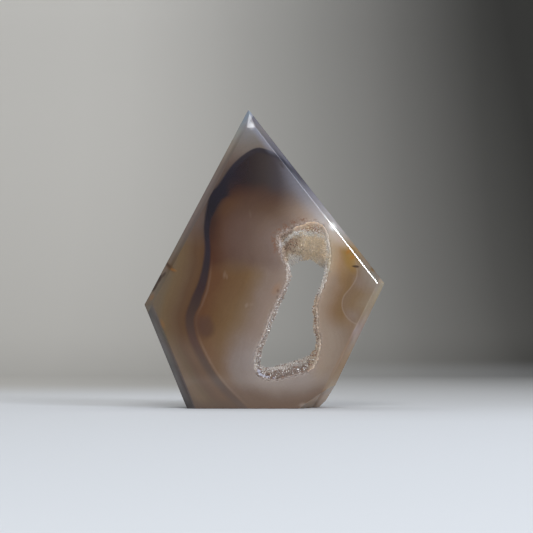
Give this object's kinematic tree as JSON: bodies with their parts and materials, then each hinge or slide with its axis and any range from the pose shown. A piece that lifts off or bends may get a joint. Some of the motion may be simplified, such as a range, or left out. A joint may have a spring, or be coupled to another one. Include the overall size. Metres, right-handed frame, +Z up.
{
  "type": "druzy agate carving",
  "caption": "Free-standing polished slab of banded agate, ground to a pointed kite outline with bevelled edges, with a natural cavity right through it that is lined with quartz crystals.",
  "frame": {"origin": "on the standing surface, under the middle of the carving's box", "axes": "+Z up towards the sharp tip, -Y out of the polished front face, +X towards the right corner as seen from the front"},
  "size_m": [0.0724, 0.02, 0.0904],
  "materials": {
    "agate": "polished, translucent, banded",
    "druzy": "sparkling fine crystals"
  },
  "bodies": {
    "root": {"agate_slab": "agate", "druzy_crust": "druzy"}
  },
  "joints": []
}
